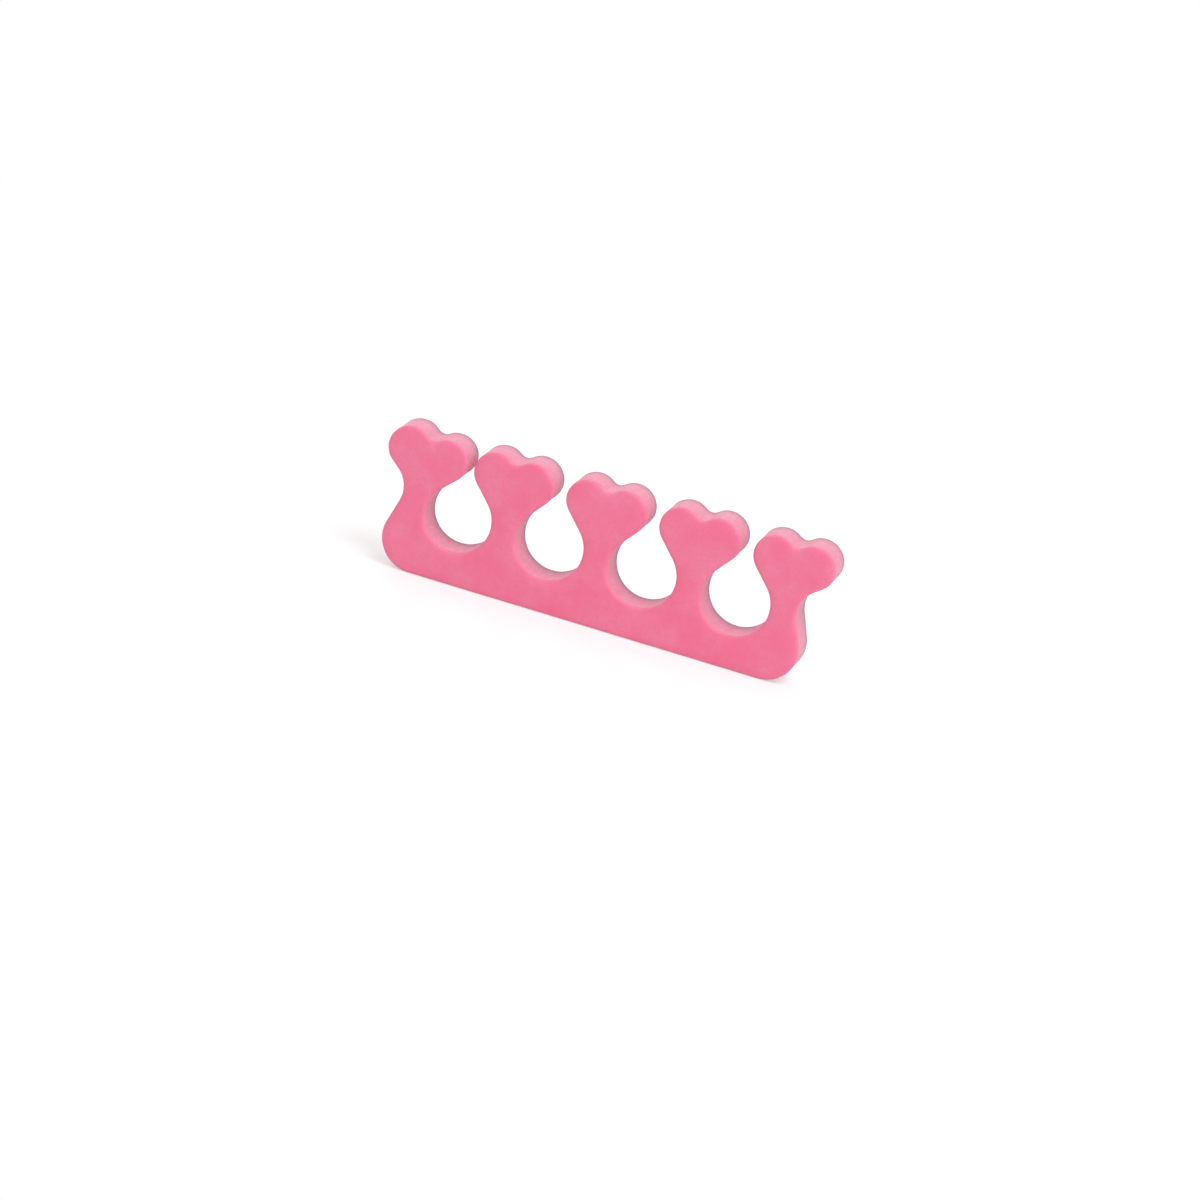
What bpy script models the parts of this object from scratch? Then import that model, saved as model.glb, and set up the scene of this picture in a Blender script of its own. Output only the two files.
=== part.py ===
"""Toe separator: one slab of closed-cell foam, die-cut into five heart-tipped fingers.

The slab stands on its straight spine edge. X runs along the row of fingers, Z up the
fingers, and Y through the slab, with the front face towards -Y. The origin is under the
middle of the slab, on the plane that it stands on.
"""

import math

import bmesh
import bpy

MM = 0.001

# Driving sizes, in millimetres
THICKNESS = 8.0
FINGER_COUNT = 5
STEM_WIDTH = 5.7           # a finger at its thinnest, between two toe gaps
SPINE_DEPTH = 7.4          # the band of foam under the toe gaps
GAP_FLANK = 4.9            # straight run from a toe gap's round to a heart's lobe
MOUTH_WIDTH = 2.8          # slit between two neighbouring hearts
PINCHED_MOUTH_WIDTH = 1.5  # the same slit beside the end finger that leans in
LOBE_RADIUS = 4.75         # either half of a heart
LOBE_SPACING = 8.4         # between the centres of a heart's two lobes
NOTCH_RADIUS = 2.0         # the hollow between the two lobes
WAIST_RADIUS = 6.0         # the hollow in each end of the slab
WAIST_FLANK = 2.3          # straight run from that hollow to the outer heart
END_REACH = 5.2            # foot of the slab past the middle of its end finger
CORNER_RADIUS = 7.3        # the two lower corners
RIM_RADIUS = 0.5           # the rims where the cut walls meet the two faces

# Fineness of the facets
ARC_STEP = math.radians(8.0)
RIM_SEGMENTS = 2
RIM_ANGLE = math.radians(60.0)
SAME_POINT = 0.001         # where two rounds touch, they share this point

# The foam, in linear colour
FOAM_COLOUR = (0.88, 0.19, 0.31, 1.0)
FOAM_ROUGHNESS = 0.85

# What follows from the driving sizes
LOBE_OFFSET = LOBE_SPACING / 2
PITCH = LOBE_SPACING + 2 * LOBE_RADIUS + MOUTH_WIDTH
GAP_RADIUS = (PITCH - STEM_WIDTH) / 2
GAP_HEIGHT = SPINE_DEPTH + GAP_RADIUS


def clear_objects():
    for item in list(bpy.data.objects):
        bpy.data.objects.remove(item, do_unlink=True)


def rise_between(first_radius, second_radius, flank, run):
    """How far one round lies above another, given the straight flank that joins them.

    The two rounds bend opposite ways, and run is the level distance between their centres.
    """
    return math.sqrt((first_radius + second_radius) ** 2 + flank ** 2 - run ** 2)


HEART_HEIGHT = GAP_HEIGHT + rise_between(
    GAP_RADIUS, LOBE_RADIUS, GAP_FLANK, PITCH / 2 - LOBE_OFFSET)


def finger_places():
    """Middle line of each finger, from left to right."""
    return [(number - (FINGER_COUNT - 1) / 2) * PITCH for number in range(FINGER_COUNT)]


def largest_corner(run, rise):
    """Radius at which a lower corner would meet the waist with no flank left between them.

    The waist's centre lies run past the foot's end and rise above the foot.
    """
    half_sum = rise + WAIST_RADIUS - run
    rest = run ** 2 + rise ** 2 - WAIST_RADIUS ** 2
    return half_sum - math.sqrt(max(half_sum ** 2 - rest, 0.0))


def heart_rounds(middle):
    """Right lobe, notch and left lobe of one heart."""
    notch_rise = math.sqrt((LOBE_RADIUS + NOTCH_RADIUS) ** 2 - LOBE_OFFSET ** 2)
    return [
        (middle + LOBE_OFFSET, HEART_HEIGHT, LOBE_RADIUS),
        (middle, HEART_HEIGHT + notch_rise, -NOTCH_RADIUS),
        (middle - LOBE_OFFSET, HEART_HEIGHT, LOBE_RADIUS),
    ]


def end_rounds(side, finger):
    """Waist and lower corner at one end of the slab, from the top down.

    side is 1 at the right end and -1 at the left end.
    """
    waist_run = STEM_WIDTH / 2 + WAIST_RADIUS
    waist_height = HEART_HEIGHT - rise_between(
        WAIST_RADIUS, LOBE_RADIUS, WAIST_FLANK, waist_run - LOBE_OFFSET)
    corner = min(CORNER_RADIUS, 0.95 * largest_corner(waist_run - END_REACH, waist_height))
    return [
        (finger + side * waist_run, waist_height, -WAIST_RADIUS),
        (finger + side * (END_REACH - corner), corner, corner),
    ]


def slab_rounds():
    """Every round of the outline as (x, z, radius), anticlockwise from the right foot.

    A lobe or a corner has a positive radius and a hollow has a negative one. A straight
    tangent joins each round to the next, and the last to the first along the foot.
    """
    fingers = finger_places()
    rounds = end_rounds(1, fingers[-1])[::-1]
    for middle in reversed(fingers):
        rounds += heart_rounds(middle)
        if middle > fingers[0]:
            rounds.append((middle - PITCH / 2, GAP_HEIGHT, -GAP_RADIUS))
    return rounds + end_rounds(-1, fingers[0])


def tangent_heading(first, second):
    """Direction of travel, in radians, along the tangent from one round to the next."""
    run = second[0] - first[0]
    rise = second[1] - first[1]
    slope = (second[2] - first[2]) / math.hypot(run, rise)
    return math.atan2(rise, run) - math.asin(max(-1.0, min(1.0, slope)))


def outline_points(rounds):
    """The closed outline: each round's arc in turn, joined by the straight tangents."""
    headings = [
        tangent_heading(first, second)
        for first, second in zip(rounds, rounds[1:] + rounds[:1])
    ]
    points = []
    for number, (centre_x, centre_z, radius) in enumerate(rounds):
        start = headings[number - 1]
        bend = math.copysign(1.0, radius)
        turn = bend * (bend * (headings[number] - start) % math.tau)
        steps = max(1, math.ceil(abs(turn) / ARC_STEP))
        for step in range(steps + 1):
            heading = start + turn * step / steps
            point = (
                centre_x + radius * math.sin(heading),
                centre_z - radius * math.cos(heading),
            )
            if not points or math.dist(point, points[-1]) > SAME_POINT:
                points.append(point)
    return points


def lean_end_finger(points):
    """Bend the left end finger inwards from its root until its mouth is pinched."""
    end_of_finger = finger_places()[0] + PITCH / 2
    lean = MOUTH_WIDTH - PINCHED_MOUTH_WIDTH
    leaned = []
    for x, z in points:
        if x < end_of_finger and z > SPINE_DEPTH:
            x += lean * ((z - SPINE_DEPTH) / (HEART_HEIGHT - SPINE_DEPTH)) ** 2
        leaned.append((x, z))
    return leaned


def centred(points):
    """Move the outline along X so that the origin is under its middle."""
    left = min(x for x, z in points)
    right = max(x for x, z in points)
    return [(x - (left + right) / 2, z) for x, z in points]


def foam_material():
    material = bpy.data.materials.new("closed_cell_foam")
    material.use_nodes = True
    shader = material.node_tree.nodes["Principled BSDF"]
    shader.inputs["Base Color"].default_value = FOAM_COLOUR
    shader.inputs["Roughness"].default_value = FOAM_ROUGHNESS
    shader.inputs["Metallic"].default_value = 0.0
    material.diffuse_color = FOAM_COLOUR
    return material


def slab_mesh(points):
    """Extrude the outline through the slab's thickness."""
    form = bmesh.new()
    front = [form.verts.new((x * MM, -THICKNESS / 2 * MM, z * MM)) for x, z in points]
    face = form.faces.new(front)
    extruded = bmesh.ops.extrude_face_region(form, geom=[face], use_keep_orig=True)
    moved = [item for item in extruded["geom"] if isinstance(item, bmesh.types.BMVert)]
    bmesh.ops.translate(form, verts=moved, vec=(0.0, THICKNESS * MM, 0.0))
    bmesh.ops.recalc_face_normals(form, faces=form.faces[:])
    mesh = bpy.data.meshes.new("foam_slab")
    form.to_mesh(mesh)
    form.free()
    return mesh


def soften_rims(slab):
    """Round the two rims, which the cutting die leaves a little soft."""
    rims = slab.modifiers.new("rims", "BEVEL")
    rims.width = RIM_RADIUS * MM
    rims.segments = RIM_SEGMENTS
    rims.limit_method = "ANGLE"
    rims.angle_limit = RIM_ANGLE
    rims.use_clamp_overlap = False


def make_slab():
    outline = centred(lean_end_finger(outline_points(slab_rounds())))
    slab = bpy.data.objects.new("foam_slab", slab_mesh(outline))
    bpy.context.scene.collection.objects.link(slab)
    slab.data.materials.append(foam_material())
    soften_rims(slab)
    slab.data.shade_smooth()
    slab.data.set_sharp_from_angle(angle=RIM_ANGLE)


clear_objects()
make_slab()
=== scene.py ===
"""Looks of the toe separator: its foam slab, a pale floor, soft studio light and the camera.

The slab's outline is read from the plain model and made finer. The piece built on it is
dressed as die-cut closed-cell foam: a satin skin on both faces, opened cells and fine
lines on the cut walls, and soft rims between them.
"""

import math

import bpy
import numpy as np
from mathutils import Matrix, Vector, geometry, noise


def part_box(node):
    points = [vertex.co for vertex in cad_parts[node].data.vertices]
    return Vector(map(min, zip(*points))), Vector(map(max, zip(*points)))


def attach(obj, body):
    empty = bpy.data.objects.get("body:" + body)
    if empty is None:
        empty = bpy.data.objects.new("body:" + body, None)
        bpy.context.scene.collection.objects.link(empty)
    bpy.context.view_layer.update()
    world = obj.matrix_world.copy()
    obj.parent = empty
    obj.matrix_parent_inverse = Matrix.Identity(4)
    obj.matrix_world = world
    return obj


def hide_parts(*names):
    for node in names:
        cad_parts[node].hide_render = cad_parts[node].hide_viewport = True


MM = 0.001

# How the plain model's outline is read, in millimetres
RING_DEPTH = 0.01          # corners this close in depth belong to one ring
RING_GRID = 0.001          # their places are rounded to this, so that equal ones meet

# Fineness of the slab's mesh, in millimetres
OUTLINE_STEP = 0.3
FACET_SMOOTHING = 0.63     # pulls each point towards its neighbours' middle
FACET_REGROWTH = -0.67     # and pushes it back, which keeps the rounds' size
SMOOTHING_PASSES = 30
SKIN_STEP = 0.45           # between the points that fill a face
SKIN_INSET = 2.4           # rings run this far in from the outline, and the fill starts there
SHOULDER_STEPS = 6
CLEAR_OF_RING = 0.6        # as a share of the skin's step
SAME_PLACE = 1e-7          # in metres
RIM_STEPS = 8
WALL_STEPS = 14

# The left end finger leans in, and its heart turns with it; lengths in millimetres
FINGER_ROOT = 7.4          # height at which the fingers leave the spine
END_HEART = (-40.75, 26.6)  # middle of that finger's heart
END_REACH = -31.7          # the outline left of this is that finger's
END_TURN = 0.08            # in radians

# Form that the die leaves on the foam, in millimetres
FRONT_RIM = (0.8, 0.6)     # how far in the rim starts, and how deep it ends
FRONT_SHOULDER = 0.3       # how much the face sinks towards that rim, where the die pressed it
BACK_RIM = (0.45, 0.35)
BACK_SHOULDER = 0.06
BACK_SHADE_REACH = 1.1        # painted shade darkens the wall this far from the back rim
BACK_SHADE_PEAK = 0.85        # its share at the rim itself
WALL_BOW = 0.05            # the cut walls spring back a little hollow
SKIN_WAVE = 0.05           # slow unevenness of the sheet
SKIN_WAVE_LENGTH = 14.0
DRAG_DEPTH = 0.025         # lines that the die drags down the walls
DRAG_SPACING = 0.8
DRAG_LENGTH = 9.0

# Foam texture, in millimetres
PATCH_WIDTH = 6.0          # soft paler patches in the skin
BLUSH_WIDTH = 1.8          # and deeper ones
SKIN_CELL = 0.4
PIT_SPACING = 1.5          # pinholes in the skin
PIT_SIZE = 0.2
WALL_CELL = 0.5
CUT_WIDTH = 0.35           # fine lines across the cut walls
CUT_LENGTH = 7.0
TOOTH_WIDTH = 0.12         # the finest roughness, on faces and walls alike
RELIEF_DEPTH = 0.1
GLOW_DEPTH = 0.9           # how far light spreads inside the foam

# How strongly each detail colours the foam, as a share
BLUSH_TONE = 0.25
SKIN_CELL_TONE = 0.35
PIT_TONE = 0.4
WALL_CELL_TONE = 0.4
WALL_PORE_TONE = 0.3
CUT_TONE = 0.25

# How strongly each detail stands out, as a share of the relief
SKIN_CELL_RELIEF = 0.3
PIT_RELIEF = 0.8
WALL_CELL_RELIEF = 0.9
CUT_RELIEF = 0.6
TOOTH_RELIEF = 0.15

SKIN_ROUGHNESS = 0.48
CUT_ROUGHNESS = 0.78

# Camera at the photograph's viewing angle, in degrees, metres and, for the lens, millimetres
CAMERA_AZIMUTH = 13.07
CAMERA_ELEVATION = 19.06
CAMERA_ROLL = -12.45
CAMERA_DISTANCE = 0.9
CAMERA_AIM = (0.00301, -0.00659, 0.00772)
CAMERA_LENS = 129.34
CAMERA_RANGE = (0.01, 20.0)
SENSOR_WIDTH = 36.0

# Linear colours
FOAM_PINK = (0.85, 0.160, 0.292)
FOAM_DEEP = (0.82, 0.125, 0.252)
FOAM_PALE = (0.84, 0.212, 0.350)
CUT_PINK = (0.80, 0.270, 0.392)      # the cut walls at the front, paler than the skin: partly the cut cells' own tone, partly painted highlight
CUT_PAINTED_BACKLIGHT = (0.74, 0.412, 0.510)      # and at the back, painted paler to stand for light that shines through the foam
CELL_PINK = (0.80, 0.210, 0.325)
PIT_PINK = (0.60, 0.120, 0.210)
# painted shade along the back rims
PAINTED_RIM_SHADE = (0.36, 0.110, 0.170)
FLOOR_WHITE = (0.85, 0.85, 0.85)     # the floor as it lights the slab
FLOOR_SHOWN = (0.55, 0.55, 0.55)     # and as the camera sees it
BACKDROP_WHITE = (1.0, 1.0, 1.0)

# Floor and world; lengths in metres
FLOOR_SIZE = 8.0
FLOOR_GLOW = 0.45            # added to the floor that the camera sees
SHADOW_REACH = (0.10, 0.30)  # from the slab's middle, where the floor starts and ends turning white
WORLD_LIGHT = 0.68           # strength of the even light from all round

# Softboxes, which face the slab: place and width in metres, and power in watts
KEY_ABOVE = ((0.5, -0.375, 1.125), 0.6, 6.5)
FILL_FRONT = ((0.8, -1.0, 0.5), 0.8, 2.9)
FILL_BACK = ((-0.6, 1.2, 0.7), 0.8, 5.0)


def ring_neighbours(mesh):
    """The ring where the back rim meets the cut wall: each corner with its two neighbours.

    A corner is its (x, z) in whole steps of RING_GRID.
    """
    corners = np.empty(len(mesh.vertices) * 3)
    mesh.vertices.foreach_get("co", corners)
    corners = corners.reshape(-1, 3)
    wall_end = corners[corners[:, 1] > 0][:, 1].min()
    on_ring = np.abs(corners[:, 1] - wall_end) < RING_DEPTH * MM
    places = np.round(corners[:, [0, 2]] / (RING_GRID * MM)).astype(int)
    keys = [tuple(place) for place in places]
    neighbours = {}
    for edge in mesh.edges:
        first, second = edge.vertices
        if on_ring[first] and on_ring[second] and keys[first] != keys[second]:
            neighbours.setdefault(keys[first], set()).add(keys[second])
            neighbours.setdefault(keys[second], set()).add(keys[first])
    return neighbours


def cad_outline(mesh):
    """The slab's outline as (x, z) corners in metres: once round where a rim meets the wall."""
    neighbours = ring_neighbours(mesh)
    start = min(neighbours)
    loop = [start]
    onward = next(iter(neighbours[start]))
    while onward != start:
        previous = loop[-1]
        loop.append(onward)
        onward = next(key for key in neighbours[onward] if key != previous)
    return np.array(loop) * RING_GRID * MM


def signed_area(loop):
    after = np.roll(loop, -1, axis=0)
    return 0.5 * np.sum(loop[:, 0] * after[:, 1] - after[:, 0] * loop[:, 1])


def fine_outline(loop):
    """The outline at an even step, anticlockwise, with the facets' corners smoothed."""
    if signed_area(loop) < 0:
        loop = loop[::-1]
    closed = np.vstack([loop, loop[:1]])
    reach = np.concatenate([[0.0], np.cumsum(np.linalg.norm(np.diff(closed, axis=0), axis=1))])
    count = int(reach[-1] / (OUTLINE_STEP * MM))
    along = np.linspace(0.0, reach[-1], count, endpoint=False)
    points = np.column_stack([np.interp(along, reach, closed[:, axis]) for axis in (0, 1)])
    for _ in range(SMOOTHING_PASSES):
        for pull in (FACET_SMOOTHING, FACET_REGROWTH):
            middle = (np.roll(points, 1, axis=0) + np.roll(points, -1, axis=0)) / 2
            points = points + pull * (middle - points)
    return points


def turn_end_heart(points):
    """Raise the outer side of the leaning finger's heart and sink its inner side."""
    x, z = points.T / MM
    middle, height = END_HEART
    share = np.clip((z - FINGER_ROOT) / (height - FINGER_ROOT), 0.0, None)
    rise = np.where(x < END_REACH, END_TURN * share * (middle - x), 0.0)
    return np.column_stack([x, z + rise]) * MM


def outward(points):
    """Unit normals of the anticlockwise outline, pointing out of the foam."""
    travel = np.roll(points, -1, axis=0) - np.roll(points, 1, axis=0)
    travel /= np.linalg.norm(travel, axis=1)[:, None]
    return np.column_stack([travel[:, 1], -travel[:, 0]])


def rim_section(reach, drop, shoulder):
    """From the face to the wall: rows of (inset, fall, wall share), in metres."""
    turns = [math.pi / 2 * step / RIM_STEPS for step in range(RIM_STEPS + 1)]
    rim = [
        (reach * (1 - math.sin(turn)), drop * (1 - math.cos(turn)), math.sin(turn) ** 3)
        for turn in turns
    ]
    insets = np.linspace(SKIN_INSET, reach, SHOULDER_STEPS, endpoint=False)
    rows = [(inset, 0.0, 0.0) for inset in insets] + rim
    return [
        (inset * MM, (fall + shoulder * (1 - inset / SKIN_INSET) ** 2) * MM, share)
        for inset, fall, share in rows
    ]


def section(half):
    """The slab's edge, front to back: rows of (inset, y, wall share, painted shade), in metres."""
    front = [
        (inset, -half + fall, share, 0.0)
        for inset, fall, share in rim_section(*FRONT_RIM, FRONT_SHOULDER)
    ]
    # the back rim also carries painted shade, darkest where it meets the wall
    back = [
        (inset, half - fall, share, BACK_SHADE_PEAK * share ** 3)
        for inset, fall, share in rim_section(*BACK_RIM, BACK_SHOULDER)
    ]
    wall = []
    start, end = front[-1][1], back[-1][1]
    for step in range(1, WALL_STEPS):
        run = (1 - math.cos(math.pi * step / WALL_STEPS)) / 2
        bow = 4 * WALL_BOW * MM * run * (1 - run)
        y = start + (end - start) * run
        # painted shade on the wall, fading away from the back rim
        painted_back_shade = BACK_SHADE_PEAK * math.exp((y - end) / (BACK_SHADE_REACH * MM))
        wall.append((bow, y, 1.0, painted_back_shade))
    return front + wall + back[::-1]


def inside(places, ring):
    """Which places lie inside the ring: those with an odd number of crossings beside them."""
    within = np.zeros(len(places), dtype=bool)
    for start, end in zip(ring, np.roll(ring, -1, axis=0)):
        if start[1] != end[1]:
            spans = (start[1] <= places[:, 1]) != (end[1] <= places[:, 1])
            slope = (end[0] - start[0]) / (end[1] - start[1])
            within ^= spans & (places[:, 0] < start[0] + slope * (places[:, 1] - start[1]))
    return within


def skin_lattice(ring):
    """Staggered points that fill the face inside the ring, clear of the ring itself."""
    step = SKIN_STEP * MM
    rise = step * math.sqrt(0.75)
    low, high = ring.min(axis=0), ring.max(axis=0)
    columns, rows = np.meshgrid(
        np.arange((high[0] - low[0]) / step), np.arange((high[1] - low[1]) / rise))
    lattice = np.column_stack([
        (low[0] + (columns + rows % 2 / 2) * step).ravel(), (low[1] + rows * rise).ravel()])
    lattice = lattice[inside(lattice, ring)]
    gaps = np.full(len(lattice), np.inf)
    for point in ring:
        gaps = np.minimum(gaps, np.linalg.norm(lattice - point, axis=1))
    return lattice[gaps > CLEAR_OF_RING * step]


def fill_face(ring):
    """Points inside the ring, and triangles over the ring's points and those."""
    inner = skin_lattice(ring)
    places = np.vstack([ring, inner])
    border = list(range(len(ring)))
    result = geometry.delaunay_2d_cdt(
        [Vector(place) for place in places], [], [border], 1, SAME_PLACE, True)
    origin = np.array([source[0] for source in result[3]])
    triangles = origin[np.array(result[2])]
    return inner, triangles[inside(places[triangles].mean(axis=1), ring)]


def upright(places, y):
    """(x, z) places as points at the depth y."""
    return np.column_stack([places[:, 0], np.full(len(places), y), places[:, 1]])


def strip_faces(size, ring_count):
    """Four-sided faces that join each ring of size points to the next ring."""
    place = np.arange(size)
    after = (place + 1) % size
    strip = np.column_stack([place, place + size, after + size, after])
    return np.vstack([strip + number * size for number in range(ring_count - 1)])


def face_triangles(triangles, size, ring_start, inner_start):
    """The filled face's triangles, renumbered for where its ring and inner points start."""
    return np.where(triangles < size, triangles + ring_start, triangles - size + inner_start)


def slab_mesh(outline, half):
    """The closed foam slab: rings round its edge, and a filled face at the front and back."""
    normals = outward(outline)
    size = len(outline)
    rings = section(half)
    inner, triangles = fill_face(outline - SKIN_INSET * MM * normals)
    blocks = [upright(outline - inset * normals, y) for inset, y, _, _ in rings]
    blocks += [upright(inner, -half), upright(inner, half)]
    last_ring, first_inner = (len(rings) - 1) * size, len(rings) * size
    front = face_triangles(triangles, size, 0, first_inner)
    back = face_triangles(triangles, size, last_ring, first_inner + len(inner))
    faces = strip_faces(size, len(rings)).tolist() + front.tolist() + back[:, ::-1].tolist()
    mesh = bpy.data.meshes.new("foam_body")
    mesh.from_pydata(np.vstack(blocks).tolist(), [], faces)
    # the second attribute marks where painted shade darkens the back rims
    for name, column in (("wall_share", 2), ("painted_back_shade", 3)):
        on_edge = np.repeat([ring[column] for ring in rings], size)
        layer = mesh.attributes.new(name, "FLOAT", "POINT")
        layer.data.foreach_set("value", np.concatenate([on_edge, np.zeros(2 * len(inner))]))
    mesh.update()
    return mesh


def press_and_drag(mesh):
    """Give the faces their slow waves and the cut walls the lines that the die drags."""
    places = [vertex.co / MM for vertex in mesh.vertices]
    normals = [vertex.normal.copy() for vertex in mesh.vertices]
    wall_share = [value.value for value in mesh.attributes["wall_share"].data]
    moved = []
    for place, normal, wall in zip(places, normals, wall_share):
        wave = noise.noise(place / SKIN_WAVE_LENGTH)
        lines = noise.noise(Vector((
            place.x / DRAG_SPACING, place.y / DRAG_LENGTH, place.z / DRAG_SPACING)))
        shift = SKIN_WAVE * wave * (1 - wall) + DRAG_DEPTH * lines * wall
        moved += ((place + normal * shift) * MM)[:]
    mesh.vertices.foreach_set("co", moved)
    mesh.update()


class Wiring:
    """Short calls for adding nodes to a material and linking them."""

    def __init__(self, material):
        material.use_nodes = True
        self.tree = material.node_tree
        self.tree.nodes.clear()

    def add(self, kind, settings=None, **inputs):
        node = self.tree.nodes.new(kind)
        for name, value in (settings or {}).items():
            setattr(node, name, value)
        for name, value in inputs.items():
            self.feed(node.inputs[name.replace("_", " ")], value)
        return node

    def feed(self, socket, value):
        if isinstance(value, bpy.types.NodeSocket):
            self.tree.links.new(value, socket)
        elif isinstance(value, tuple) and len(value) == 3 and socket.type == "RGBA":
            socket.default_value = (*value, 1.0)
        else:
            socket.default_value = value

    def math(self, operation, first, second):
        node = self.add("ShaderNodeMath", {"operation": operation})
        self.feed(node.inputs[0], first)
        self.feed(node.inputs[1], second)
        return node.outputs[0]

    def times(self, first, second):
        return self.math("MULTIPLY", first, second)

    def mix(self, share, first, second):
        """One colour, or the other where share is 1."""
        node = self.add("ShaderNodeMix", {"data_type": "RGBA"})
        self.feed(node.inputs["Factor"], share)
        self.feed(node.inputs[6], first)
        self.feed(node.inputs[7], second)
        return node.outputs[2]

    def choose(self, share, first, second):
        """One shader, or the other where share is 1."""
        node = self.add("ShaderNodeMixShader", Fac=share)
        self.feed(node.inputs[1], first)
        self.feed(node.inputs[2], second)
        return node.outputs[0]

    def spread(self, value, low, high, top=1.0, bottom=0.0):
        """value's stretch from low to high, as bottom to top."""
        node = self.add("ShaderNodeMapRange", Value=value, From_Min=low, From_Max=high,
                        To_Min=bottom, To_Max=top)
        return node.outputs["Result"]

    def attribute(self, name):
        return self.add("ShaderNodeAttribute", {"attribute_name": name}).outputs["Fac"]

    def grain(self, place, width, detail=2.0):
        """Soft noise whose patches are about width millimetres across."""
        node = self.add(
            "ShaderNodeTexNoise", Vector=place, Scale=1 / (width * MM), Detail=detail)
        return node.outputs["Fac"]

    def cells(self, place, width):
        """How far the nearest cell's middle is, in cell widths, and that cell's own number."""
        node = self.add("ShaderNodeTexVoronoi", Vector=place, Scale=1 / (width * MM))
        return node.outputs["Distance"], node.outputs["Color"]


def pinholes(wires, place):
    """1 in the small pits that are scattered over the skin, and 0 between them."""
    reach, number = wires.cells(place, PIT_SPACING)
    size = PIT_SIZE / PIT_SPACING
    return wires.times(wires.spread(reach, size, size / 2), wires.spread(number, 0.45, 0.6))


def skin_finish(wires, place):
    """Colour and relief of the faces: soft patches, fine closed cells and a few pinholes."""
    patches = wires.spread(wires.grain(place, PATCH_WIDTH, 3.0), 0.36, 0.64)
    blush = wires.spread(wires.grain(place, BLUSH_WIDTH), 0.35, 0.65, BLUSH_TONE)
    cells, _ = wires.cells(place, SKIN_CELL)
    pits = pinholes(wires, place)
    colour = wires.mix(patches, FOAM_PINK, FOAM_PALE)
    colour = wires.mix(blush, colour, FOAM_DEEP)
    colour = wires.mix(wires.spread(cells, 0.2, 0.8, SKIN_CELL_TONE), colour, FOAM_DEEP)
    colour = wires.mix(wires.times(pits, PIT_TONE), colour, PIT_PINK)
    relief = wires.math(
        "ADD", wires.times(cells, -SKIN_CELL_RELIEF), wires.times(pits, -PIT_RELIEF))
    return colour, relief


def cut_finish(wires, place, half):
    """Colour and relief of the cut walls: opened cells, lines along the cut, and painted light that
    pales them towards the back.
    """
    depth = wires.add("ShaderNodeSeparateXYZ", Vector=place).outputs["Y"]
    drawn_out = wires.add(
        "ShaderNodeMapping", Vector=place, Scale=(1.0, CUT_WIDTH / CUT_LENGTH, 1.0)
    ).outputs["Vector"]
    lines = wires.grain(drawn_out, CUT_WIDTH, 1.0)
    cells, number = wires.cells(place, WALL_CELL)
    # painted light: the walls turn paler towards the back, as if lit through the foam
    colour = wires.mix(wires.spread(depth, -half, half), CUT_PINK, CUT_PAINTED_BACKLIGHT)
    colour = wires.mix(wires.spread(number, 0.2, 0.8, WALL_CELL_TONE), colour, CELL_PINK)
    colour = wires.mix(wires.spread(cells, 0.45, 0.0, WALL_PORE_TONE), colour, PIT_PINK)
    colour = wires.mix(wires.spread(lines, 0.3, 0.7, CUT_TONE), colour, FOAM_DEEP)
    relief = wires.math(
        "ADD", wires.times(cells, WALL_CELL_RELIEF), wires.times(lines, CUT_RELIEF))
    return colour, relief


def foam_relief(wires, place, wall, skin_relief, cut_relief):
    """Normals of the faces' relief and of the walls', where wall is 1, with fine tooth on both."""
    on_skin = wires.times(skin_relief, wires.math("SUBTRACT", 1.0, wall))
    relief = wires.math("ADD", on_skin, wires.times(cut_relief, wall))
    tooth = wires.times(wires.grain(place, TOOTH_WIDTH), TOOTH_RELIEF)
    bump = wires.add(
        "ShaderNodeBump",
        Height=wires.math("ADD", relief, tooth),
        Strength=0.8,
        Distance=RELIEF_DEPTH * MM,
    )
    return bump.outputs["Normal"]


def foam_material(half):
    """Closed-cell foam: satin skin, duller cut walls, and a dark line of painted shade along the
    back rims.
    """
    material = bpy.data.materials.new("closed_cell_foam")
    wires = Wiring(material)
    place = wires.add("ShaderNodeTexCoord").outputs["Object"]
    wall = wires.attribute("wall_share")
    skin_colour, skin_relief = skin_finish(wires, place)
    cut_colour, cut_relief = cut_finish(wires, place, half)
    colour = wires.mix(wall, skin_colour, cut_colour)
    shader = wires.add(
        "ShaderNodeBsdfPrincipled",
        # painted shade darkens the colour towards the back rims
        Base_Color=wires.mix(wires.attribute("painted_back_shade"), colour, PAINTED_RIM_SHADE),
        Roughness=wires.spread(wall, 0.0, 1.0, CUT_ROUGHNESS, SKIN_ROUGHNESS),
        Normal=foam_relief(wires, place, wall, skin_relief, cut_relief),
        Subsurface_Weight=0.15,
        Subsurface_Radius=(1.0, 0.35, 0.45),
        Subsurface_Scale=GLOW_DEPTH * MM,
        Specular_IOR_Level=0.5,
        Sheen_Weight=0.1,
        Sheen_Roughness=0.5,
    )
    output = wires.add("ShaderNodeOutputMaterial")
    wires.feed(output.inputs["Surface"], shader.outputs["BSDF"])
    return material


def make_slab():
    low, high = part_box("foam_slab")
    half = (high[1] - low[1]) / 2
    outline = fine_outline(cad_outline(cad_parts["foam_slab"].data))
    mesh = slab_mesh(turn_end_heart(outline), half)
    press_and_drag(mesh)
    mesh.shade_smooth()
    mesh.materials.append(foam_material(half))
    slab = bpy.data.objects.new("foam_body", mesh)
    bpy.context.scene.collection.objects.link(slab)
    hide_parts("foam_slab")
    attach(slab, "root")


def seen_directly(wires):
    """1 for rays from the camera, and for those that a gloss or a glass sends on."""
    path = wires.add("ShaderNodeLightPath").outputs
    seen = wires.math("MAXIMUM", path["Is Camera Ray"], path["Is Glossy Ray"])
    return wires.math("MAXIMUM", seen, path["Is Transmission Ray"])


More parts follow.
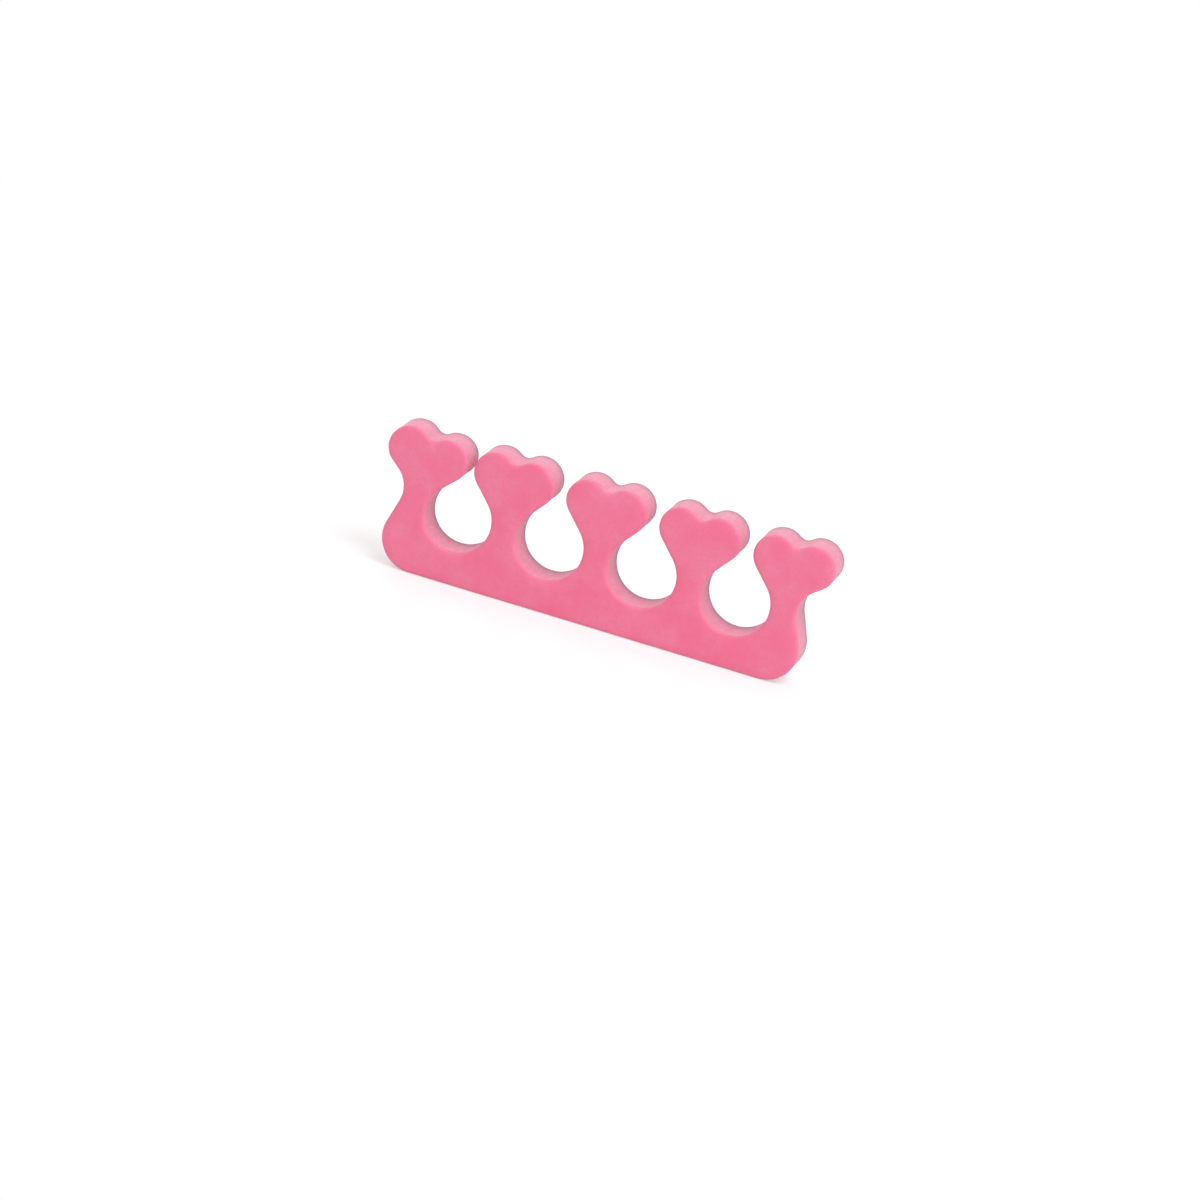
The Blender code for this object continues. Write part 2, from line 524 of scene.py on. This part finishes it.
def floor_material():
    """White paper that keeps a light shadow and melts into the white background."""
    material = bpy.data.materials.new("floor_paper")
    wires = Wiring(material)
    lit = wires.add("ShaderNodeBsdfDiffuse", Color=FLOOR_WHITE).outputs[0]
    shown = wires.add("ShaderNodeBsdfDiffuse", Color=FLOOR_SHOWN).outputs[0]
    glow = wires.add("ShaderNodeEmission", Color=BACKDROP_WHITE, Strength=FLOOR_GLOW).outputs[0]
    white = wires.add("ShaderNodeEmission", Color=BACKDROP_WHITE, Strength=1.0).outputs[0]
    place = wires.add("ShaderNodeTexCoord").outputs["Object"]
    away = wires.add("ShaderNodeVectorMath", {"operation": "LENGTH"}, Vector=place)
    blank = wires.spread(away.outputs["Value"], *SHADOW_REACH)
    near = wires.add("ShaderNodeAddShader")
    wires.feed(near.inputs[0], shown)
    wires.feed(near.inputs[1], glow)
    paper = wires.choose(blank, near.outputs[0], white)
    output = wires.add("ShaderNodeOutputMaterial")
    wires.feed(output.inputs["Surface"], wires.choose(seen_directly(wires), lit, paper))
    return material


def make_floor():
    reach = FLOOR_SIZE / 2
    mesh = bpy.data.meshes.new("floor")
    corners = [(-reach, -reach, 0), (reach, -reach, 0), (reach, reach, 0), (-reach, reach, 0)]
    mesh.from_pydata(corners, [], [(0, 1, 2, 3)])
    mesh.materials.append(floor_material())
    floor = bpy.data.objects.new("floor", mesh)
    bpy.context.scene.collection.objects.link(floor)


def make_world():
    """Even light from all round, and plain white where the camera looks past the floor."""
    world = bpy.data.worlds.new("studio")
    bpy.context.scene.world = world
    wires = Wiring(world)
    light = wires.add("ShaderNodeBackground", Color=BACKDROP_WHITE, Strength=WORLD_LIGHT)
    backdrop = wires.add("ShaderNodeBackground", Color=BACKDROP_WHITE, Strength=1.0)
    shown = wires.choose(seen_directly(wires), light.outputs[0], backdrop.outputs[0])
    output = wires.add("ShaderNodeOutputWorld")
    wires.feed(output.inputs["Surface"], shown)


def make_softbox(name, place, width, power):
    data = bpy.data.lights.new(name, "AREA")
    data.shape = "SQUARE"
    data.size = width
    data.energy = power
    lamp = bpy.data.objects.new(name, data)
    lamp.location = place
    lamp.rotation_mode = "QUATERNION"
    lamp.rotation_quaternion = (-Vector(place)).to_track_quat("-Z", "Y")
    bpy.context.scene.collection.objects.link(lamp)


def make_lights():
    make_softbox("key_above", *KEY_ABOVE)
    make_softbox("fill_front", *FILL_FRONT)
    make_softbox("fill_back", *FILL_BACK)


def make_camera():
    azimuth = math.radians(CAMERA_AZIMUTH)
    elevation = math.radians(CAMERA_ELEVATION)
    level = math.cos(elevation)
    back = Vector((math.sin(azimuth) * level, -math.cos(azimuth) * level, math.sin(elevation)))
    data = bpy.data.cameras.new("camera")
    data.lens = CAMERA_LENS
    data.sensor_width = SENSOR_WIDTH
    data.clip_start, data.clip_end = CAMERA_RANGE
    camera = bpy.data.objects.new("camera", data)
    facing = (-back).to_track_quat("-Z", "Y").to_matrix().to_4x4()
    roll = Matrix.Rotation(math.radians(-CAMERA_ROLL), 4, "Z")
    place = Vector(CAMERA_AIM) + back * CAMERA_DISTANCE
    camera.matrix_world = Matrix.Translation(place) @ facing @ roll
    bpy.context.scene.collection.objects.link(camera)
    bpy.context.scene.camera = camera


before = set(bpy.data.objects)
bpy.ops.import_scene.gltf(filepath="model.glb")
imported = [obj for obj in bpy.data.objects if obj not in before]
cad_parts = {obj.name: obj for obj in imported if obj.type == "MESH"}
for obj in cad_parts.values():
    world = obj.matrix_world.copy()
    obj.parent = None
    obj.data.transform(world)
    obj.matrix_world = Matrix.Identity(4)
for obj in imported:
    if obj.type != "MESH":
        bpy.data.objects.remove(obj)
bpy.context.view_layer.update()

make_slab()
make_floor()
make_world()
make_lights()
make_camera()
bpy.context.scene.view_settings.view_transform = "Standard"
